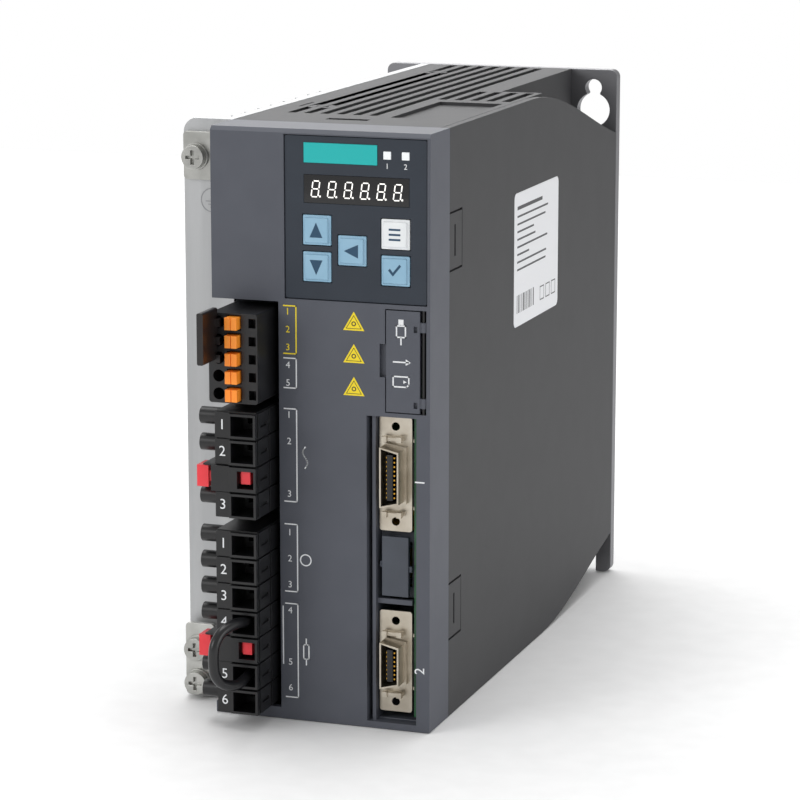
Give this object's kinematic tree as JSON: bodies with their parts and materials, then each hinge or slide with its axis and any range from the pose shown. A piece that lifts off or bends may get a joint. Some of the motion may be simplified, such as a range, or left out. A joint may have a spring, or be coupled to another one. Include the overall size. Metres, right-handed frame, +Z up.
{
  "type": "servo drive",
  "caption": "Compact servo drive with side heat sink, top grille, key panel, pluggable power terminals and two ribbon-type sockets.",
  "frame": {"origin": "under the centre of the bounding box, on the plane of the lower edge", "axes": "+Z up, the front with its keys and plugs faces -Y, +X to the right seen from the front, heat sink on the left"},
  "size_m": [0.08, 0.2234, 0.17],
  "materials": {
    "anodised_sink": "satin milled and anodised",
    "plated_plate": "zinc plated sheet",
    "side_plastic": "fine spark texture",
    "cover_plastic": "fine spark texture",
    "panel_plastic": "fine grain",
    "badge_film": "printed film, blank",
    "window_plastic": "smoked clear",
    "display_body": "LED module",
    "light_pipe": "frosted clear",
    "key_blue": "satin moulded",
    "key_white": "satin moulded",
    "silicone": "silicone",
    "circuit_board": "solder mask",
    "capacitor_sleeve": "shrink sleeve",
    "module_resin": "moulded resin",
    "thermal_sheet": "gap filler",
    "copper_winding": "enamelled wire",
    "transformer_tape": "polyester tape",
    "relay_case": "moulded",
    "nickel": "satin nickel plate",
    "socket_insert": "glass filled",
    "cap_plastic": "fine grain",
    "pin_steel": "ground",
    "terminal_black": "glass filled nylon",
    "bridge_brown": "moulded",
    "button_orange": "moulded",
    "release_red": "moulded",
    "clamp_metal": "tinned",
    "wire_sheath": "PVC insulation",
    "zinc_bracket": "zinc plated",
    "zinc_screw": "zinc plated",
    "label_film": "printed polyester"
  },
  "bodies": {
    "drive": {"heat_sink": "anodised_sink", "rear_plate": "plated_plate", "housing": "side_plastic", "top_grille": "side_plastic", "front_cover": "cover_plastic", "hmi_panel": "panel_plastic", "badge": "badge_film", "display_window": "window_plastic", "display_module": "display_body", "light_pipes": "light_pipe", "key_mat": "silicone", "hmi_board": "circuit_board", "control_board": "circuit_board", "power_board": "circuit_board", "dc_link_capacitors": "capacitor_sleeve", "power_module": "module_resin", "thermal_pad": "thermal_sheet", "filter_choke": "copper_winding", "transformer": "transformer_tape", "relays": "relay_case", "standoffs": "pin_steel", "board_screws": "zinc_screw", "encoder_shell": "nickel", "encoder_insert": "socket_insert", "io_shell": "nickel", "io_insert": "socket_insert", "usb_socket": "nickel", "card_socket": "nickel", "door_hinge_pin": "terminal_black", "sto_header": "terminal_black", "line_header": "terminal_black", "motor_header": "terminal_black", "earth_bracket_top": "zinc_bracket", "earth_bracket_bottom": "zinc_bracket", "earth_screws": "zinc_screw", "earth_washers": "zinc_screw", "nameplate": "label_film"},
    "key_up": {"key_up": "key_blue"},
    "key_down": {"key_down": "key_blue"},
    "key_left": {"key_left": "key_blue"},
    "key_menu": {"key_menu": "key_white"},
    "key_ok": {"key_ok": "key_blue"},
    "port_door": {"port_door": "cover_plastic"},
    "blank_port_cap": {"blank_port_cap": "cap_plastic"},
    "sto_plug": {"sto_plug": "terminal_black"},
    "sto_jumper": {"sto_jumper": "bridge_brown"},
    "line_plug": {"line_plug": "terminal_black", "line_clamps": "clamp_metal"},
    "line_release": {"line_release": "release_red"},
    "motor_plug": {"motor_plug": "terminal_black", "motor_clamps": "clamp_metal", "jumper_wire": "wire_sheath"},
    "motor_release": {"motor_release": "release_red"},
    "sto_button_1": {"sto_button_1": "button_orange"},
    "sto_button_2": {"sto_button_2": "button_orange"},
    "sto_button_3": {"sto_button_3": "button_orange"},
    "sto_button_4": {"sto_button_4": "button_orange"},
    "sto_button_5": {"sto_button_5": "button_orange"}
  },
  "joints": [
    {"name": "key_up_press", "type": "slide", "parent": "drive", "child": "key_up", "axis": [0, 1, 0], "range_m": [0, 0.0008], "stiffness_N_per_m": 900},
    {"name": "key_down_press", "type": "slide", "parent": "drive", "child": "key_down", "axis": [0, 1, 0], "range_m": [0, 0.0008], "stiffness_N_per_m": 900},
    {"name": "key_left_press", "type": "slide", "parent": "drive", "child": "key_left", "axis": [0, 1, 0], "range_m": [0, 0.0008], "stiffness_N_per_m": 900},
    {"name": "key_menu_press", "type": "slide", "parent": "drive", "child": "key_menu", "axis": [0, 1, 0], "range_m": [0, 0.0008], "stiffness_N_per_m": 900},
    {"name": "key_ok_press", "type": "slide", "parent": "drive", "child": "key_ok", "axis": [0, 1, 0], "range_m": [0, 0.0008], "stiffness_N_per_m": 900},
    {"name": "port_door_hinge", "type": "hinge", "parent": "drive", "child": "port_door", "pos_m": [0.038, -0.08265, 0.1064], "axis": [0, 0, 1], "range_deg": [0, 100]},
    {"name": "blank_port_cap_pull", "type": "slide", "parent": "drive", "child": "blank_port_cap", "axis": [0, -1, 0], "range_m": [0, 0.012]},
    {"name": "sto_plug_pull", "type": "slide", "parent": "drive", "child": "sto_plug", "axis": [0, -1, 0], "range_m": [0, 0.02]},
    {"name": "sto_jumper_pull", "type": "slide", "parent": "sto_plug", "child": "sto_jumper", "axis": [0, -1, 0], "range_m": [0, 0.01]},
    {"name": "sto_button_1_press", "type": "slide", "parent": "sto_plug", "child": "sto_button_1", "axis": [0, 1, 0], "range_m": [0, 0.0018], "stiffness_N_per_m": 1500},
    {"name": "sto_button_2_press", "type": "slide", "parent": "sto_plug", "child": "sto_button_2", "axis": [0, 1, 0], "range_m": [0, 0.0018], "stiffness_N_per_m": 1500},
    {"name": "sto_button_3_press", "type": "slide", "parent": "sto_plug", "child": "sto_button_3", "axis": [0, 1, 0], "range_m": [0, 0.0018], "stiffness_N_per_m": 1500},
    {"name": "sto_button_4_press", "type": "slide", "parent": "sto_plug", "child": "sto_button_4", "axis": [0, 1, 0], "range_m": [0, 0.0018], "stiffness_N_per_m": 1500},
    {"name": "sto_button_5_press", "type": "slide", "parent": "sto_plug", "child": "sto_button_5", "axis": [0, 1, 0], "range_m": [0, 0.0018], "stiffness_N_per_m": 1500},
    {"name": "line_plug_pull", "type": "slide", "parent": "drive", "child": "line_plug", "axis": [0, -1, 0], "range_m": [0, 0.02]},
    {"name": "line_release_press", "type": "slide", "parent": "line_plug", "child": "line_release", "axis": [1, 0, 0], "range_m": [0, 0.0012], "stiffness_N_per_m": 1200},
    {"name": "motor_plug_pull", "type": "slide", "parent": "drive", "child": "motor_plug", "axis": [0, -1, 0], "range_m": [0, 0.02]},
    {"name": "motor_release_press", "type": "slide", "parent": "motor_plug", "child": "motor_release", "axis": [1, 0, 0], "range_m": [0, 0.0012], "stiffness_N_per_m": 1200}
  ]
}
